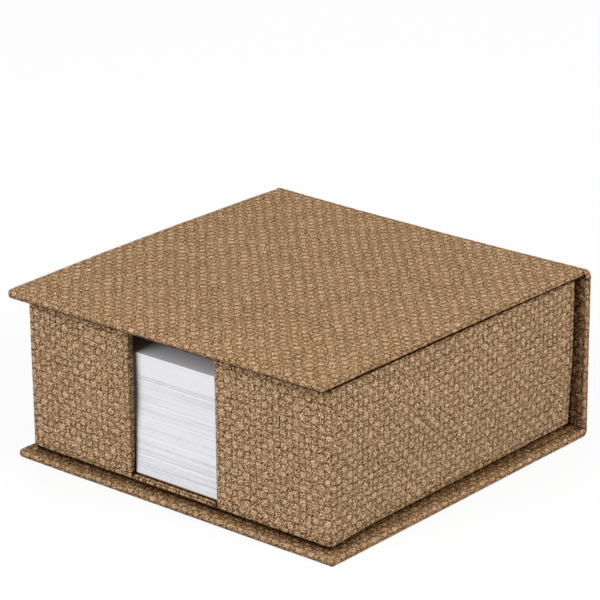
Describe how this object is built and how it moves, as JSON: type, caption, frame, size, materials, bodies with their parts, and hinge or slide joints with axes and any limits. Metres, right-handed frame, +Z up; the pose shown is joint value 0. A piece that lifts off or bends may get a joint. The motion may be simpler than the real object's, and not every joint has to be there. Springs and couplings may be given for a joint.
{
  "type": "memo box",
  "caption": "Square hinged-lid memo box in textured cover paper, with a cardboard tray, a full-height front finger window and a loose stack of note sheets.",
  "frame": {"origin": "under the middle of the whole box, on the surface it stands on", "axes": "+Z up; +X to the right seen from the front; the finger window faces -Y and the hinged spine is at +Y"},
  "size_m": [0.104, 0.1044, 0.0459],
  "materials": {
    "cover_paper": "coarse embossed basket texture, matt",
    "lining_paper": "smooth matt",
    "greyboard": "raw matt board",
    "note_paper": "uncoated white writing paper"
  },
  "bodies": {
    "box": {"base_board": "greyboard", "spine_board": "greyboard", "case_cover": "cover_paper", "lid_joint_cover": "cover_paper", "lid_joint_lining": "cover_paper", "spine_lining": "cover_paper", "tray_floor_board": "greyboard", "tray_left_board": "greyboard", "tray_right_board": "greyboard", "tray_back_board": "greyboard", "tray_front_left_board": "greyboard", "tray_front_right_board": "greyboard", "tray_cover": "cover_paper", "tray_floor_lining": "lining_paper"},
    "lid": {"lid_board": "greyboard", "lid_cover": "cover_paper", "lid_lining": "lining_paper"},
    "notes": {"note_sheaf_1": "note_paper", "note_sheaf_2": "note_paper", "note_sheaf_3": "note_paper", "note_sheaf_4": "note_paper", "note_sheaf_5": "note_paper"}
  },
  "joints": [
    {"name": "lid_hinge", "type": "hinge", "parent": "box", "child": "lid", "pos_m": [0, 0.05175, 0.04545], "axis": [-1, 0, 0], "range_deg": [0, 205], "deforming": ["lid_joint_cover", "lid_joint_lining"]},
    {"name": "notes_lift", "type": "slide", "parent": "box", "child": "notes", "axis": [0, 0, 1], "range_m": [0, 0.007]}
  ]
}
